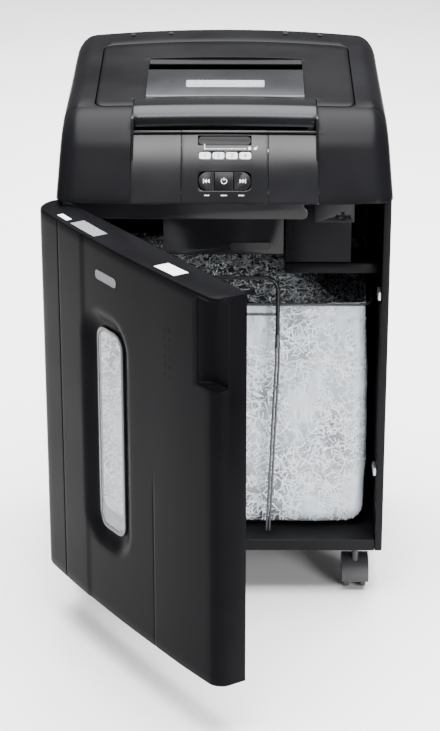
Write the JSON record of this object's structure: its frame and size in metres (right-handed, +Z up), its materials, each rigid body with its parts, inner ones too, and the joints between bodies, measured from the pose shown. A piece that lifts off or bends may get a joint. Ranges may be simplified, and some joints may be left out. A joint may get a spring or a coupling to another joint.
{
  "type": "paper shredder",
  "caption": "Floor-standing office paper shredder on casters with an open cabinet door, pull-out waste bag, auto-feed lid with manual slot, and keypad control panel.",
  "frame": {"origin": "on the floor, under the middle of the whole object's box with the door standing open; the cabinet's own centre line is at x 0.010 and the front edges of its side walls at y 0.004", "axes": "+X to the right of a person facing the front, +Y towards the back, +Z up; metres"},
  "size_m": [0.491, 0.8106, 0.7838],
  "materials": {
    "laminated_board": "satin",
    "black_shell": "satin",
    "graphite_plastic": "satin",
    "silver_plastic": "metallic satin",
    "button_grey": "satin",
    "key_white": "satin",
    "black_plastic": "satin",
    "display_glass": "gloss",
    "door_glass": "gloss",
    "bright_trim": "gloss",
    "sheet_steel": "satin",
    "cutter_steel": "satin",
    "gear_steel": "satin",
    "motor_case": "satin",
    "roller_rubber": "matte",
    "zinc_plate": "satin",
    "rim_wire": "satin",
    "bag_film": "soft film",
    "shredded_paper": "matte",
    "wheel_tread": "satin"
  },
  "bodies": {
    "cabinet": {"cabinet_left_panel": "laminated_board", "cabinet_right_panel": "laminated_board", "cabinet_back_panel": "laminated_board", "cabinet_base": "laminated_board", "front_crossbar": "graphite_plastic", "catch_plate_upper": "zinc_plate", "catch_plate_lower": "zinc_plate", "hinge_bracket_upper": "zinc_plate", "hinge_bracket_lower": "zinc_plate", "bag_rim_wire": "rim_wire", "bag_hoop": "graphite_plastic", "waste_bag": "bag_film", "shred_heap": "shredded_paper", "head_shell": "black_shell", "head_deck": "sheet_steel", "fascia_left": "graphite_plastic", "fascia_right": "graphite_plastic", "control_panel": "graphite_plastic", "display_window": "display_glass", "paper_tray": "graphite_plastic", "bearing_plate_left": "sheet_steel", "bearing_plate_right": "sheet_steel", "motor": "motor_case", "mechanism_cover": "graphite_plastic", "motor_cover": "black_shell", "shred_ledge": "black_shell", "interlock_bracket": "graphite_plastic", "power_inlet": "black_plastic", "switch_frame": "black_plastic"},
    "door": {"door_shell": "black_shell", "door_inner_panel": "graphite_plastic", "door_window": "door_glass", "window_trim": "bright_trim"},
    "lid": {"lid_shell": "black_shell", "lid_insert": "silver_plastic", "lid_handle": "silver_plastic"},
    "press_plate": {"press_plate": "sheet_steel"},
    "front_cutter": {"cutter_front": "cutter_steel", "gear_front": "gear_steel"},
    "rear_cutter": {"cutter_rear": "cutter_steel", "gear_rear": "gear_steel"},
    "reduction_gear": {"reduction_gear": "gear_steel"},
    "motor_pinion": {"motor_pinion": "gear_steel"},
    "feed_roller": {"feed_roller": "roller_rubber"},
    "button_reverse": {"button_reverse": "button_grey"},
    "button_power": {"button_power": "button_grey"},
    "button_forward": {"button_forward": "button_grey"},
    "pin_key_1": {"pin_key_1": "key_white"},
    "pin_key_2": {"pin_key_2": "key_white"},
    "pin_key_3": {"pin_key_3": "key_white"},
    "pin_key_4": {"pin_key_4": "key_white"},
    "power_rocker": {"power_rocker": "black_plastic"},
    "caster_front_left": {"caster_hood_front_left": "graphite_plastic"},
    "wheel_front_left": {"caster_wheel_front_left": "wheel_tread"},
    "caster_front_right": {"caster_hood_front_right": "graphite_plastic"},
    "wheel_front_right": {"caster_wheel_front_right": "wheel_tread"},
    "caster_rear_left": {"caster_hood_rear_left": "graphite_plastic"},
    "wheel_rear_left": {"caster_wheel_rear_left": "wheel_tread"},
    "caster_rear_right": {"caster_hood_rear_right": "graphite_plastic"},
    "wheel_rear_right": {"caster_wheel_rear_right": "wheel_tread"}
  },
  "joints": [
    {"name": "door_swing", "type": "hinge", "parent": "cabinet", "child": "door", "pos_m": [-0.2205, -0.004, 0.3545], "axis": [0, 0, 1], "range_deg": [-58.5, 56.5]},
    {"name": "lid_swing", "type": "hinge", "parent": "cabinet", "child": "lid", "pos_m": [0.01, 0.31, 0.77507], "axis": [-1, 0, 0], "range_deg": [0, 72]},
    {"name": "press_plate_travel", "type": "slide", "parent": "lid", "child": "press_plate", "axis": [0, 0, 1], "range_m": [0, 0.006], "stiffness_N_per_m": 200, "springref_m": -0.012},
    {"name": "front_cutter_spin", "type": "hinge", "parent": "cabinet", "child": "front_cutter", "pos_m": [0.01, 0.191, 0.664], "axis": [1, 0, 0], "continuous": true},
    {"name": "rear_cutter_spin", "type": "hinge", "parent": "cabinet", "child": "rear_cutter", "pos_m": [0.01, 0.223, 0.664], "axis": [1, 0, 0], "continuous": true},
    {"name": "reduction_gear_spin", "type": "hinge", "parent": "cabinet", "child": "reduction_gear", "pos_m": [0.01, 0.251, 0.664], "axis": [1, 0, 0], "continuous": true},
    {"name": "motor_pinion_spin", "type": "hinge", "parent": "cabinet", "child": "motor_pinion", "pos_m": [0.01, 0.276, 0.664], "axis": [1, 0, 0], "continuous": true},
    {"name": "feed_roller_spin", "type": "hinge", "parent": "cabinet", "child": "feed_roller", "pos_m": [0.01, 0.109, 0.6905], "axis": [1, 0, 0], "continuous": true},
    {"name": "button_reverse_press", "type": "slide", "parent": "cabinet", "child": "button_reverse", "axis": [0, 0.8779, -0.4789], "range_m": [0, 0.0015], "stiffness_N_per_m": 300, "springref_m": -0.0008},
    {"name": "button_power_press", "type": "slide", "parent": "cabinet", "child": "button_power", "axis": [0, 0.8779, -0.4789], "range_m": [0, 0.0015], "stiffness_N_per_m": 300, "springref_m": -0.0008},
    {"name": "button_forward_press", "type": "slide", "parent": "cabinet", "child": "button_forward", "axis": [0, 0.8779, -0.4789], "range_m": [0, 0.0015], "stiffness_N_per_m": 300, "springref_m": -0.0008},
    {"name": "pin_key_1_press", "type": "slide", "parent": "cabinet", "child": "pin_key_1", "axis": [0, 0.8779, -0.4789], "range_m": [0, 0.001], "stiffness_N_per_m": 200, "springref_m": -0.0008},
    {"name": "pin_key_2_press", "type": "slide", "parent": "cabinet", "child": "pin_key_2", "axis": [0, 0.8779, -0.4789], "range_m": [0, 0.001], "stiffness_N_per_m": 200, "springref_m": -0.0008},
    {"name": "pin_key_3_press", "type": "slide", "parent": "cabinet", "child": "pin_key_3", "axis": [0, 0.8779, -0.4789], "range_m": [0, 0.001], "stiffness_N_per_m": 200, "springref_m": -0.0008},
    {"name": "pin_key_4_press", "type": "slide", "parent": "cabinet", "child": "pin_key_4", "axis": [0, 0.8779, -0.4789], "range_m": [0, 0.001], "stiffness_N_per_m": 200, "springref_m": -0.0008},
    {"name": "power_rocker_tilt", "type": "hinge", "parent": "cabinet", "child": "power_rocker", "pos_m": [0.121, 0.3965, 0.664], "axis": [1, 0, 0], "range_deg": [-14, 0]},
    {"name": "caster_front_left_swivel", "type": "hinge", "parent": "cabinet", "child": "caster_front_left", "pos_m": [-0.1875, 0.038, 0.06], "axis": [0, 0, 1], "continuous": true},
    {"name": "wheel_front_left_roll", "type": "hinge", "parent": "caster_front_left", "child": "wheel_front_left", "pos_m": [-0.1875, 0.05, 0.0245], "axis": [1, 0, 0], "continuous": true},
    {"name": "caster_front_right_swivel", "type": "hinge", "parent": "cabinet", "child": "caster_front_right", "pos_m": [0.2075, 0.038, 0.06], "axis": [0, 0, 1], "continuous": true},
    {"name": "wheel_front_right_roll", "type": "hinge", "parent": "caster_front_right", "child": "wheel_front_right", "pos_m": [0.2075, 0.05, 0.0245], "axis": [1, 0, 0], "continuous": true},
    {"name": "caster_rear_left_swivel", "type": "hinge", "parent": "cabinet", "child": "caster_rear_left", "pos_m": [-0.1875, 0.349, 0.06], "axis": [0, 0, 1], "continuous": true},
    {"name": "wheel_rear_left_roll", "type": "hinge", "parent": "caster_rear_left", "child": "wheel_rear_left", "pos_m": [-0.19438, 0.35883, 0.0245], "axis": [0.8192, 0.5736, 0], "continuous": true},
    {"name": "caster_rear_right_swivel", "type": "hinge", "parent": "cabinet", "child": "caster_rear_right", "pos_m": [0.2075, 0.349, 0.06], "axis": [0, 0, 1], "continuous": true},
    {"name": "wheel_rear_right_roll", "type": "hinge", "parent": "caster_rear_right", "child": "wheel_rear_right", "pos_m": [0.1955, 0.349, 0.0245], "axis": [0, 1, 0], "continuous": true}
  ],
  "couplings": [
    {"joint": "rear_cutter_spin", "follows": "front_cutter_spin", "ratio": -1},
    {"joint": "reduction_gear_spin", "follows": "front_cutter_spin", "ratio": 1.3333},
    {"joint": "motor_pinion_spin", "follows": "front_cutter_spin", "ratio": -5.3333},
    {"joint": "feed_roller_spin", "follows": "front_cutter_spin", "ratio": -1}
  ]
}
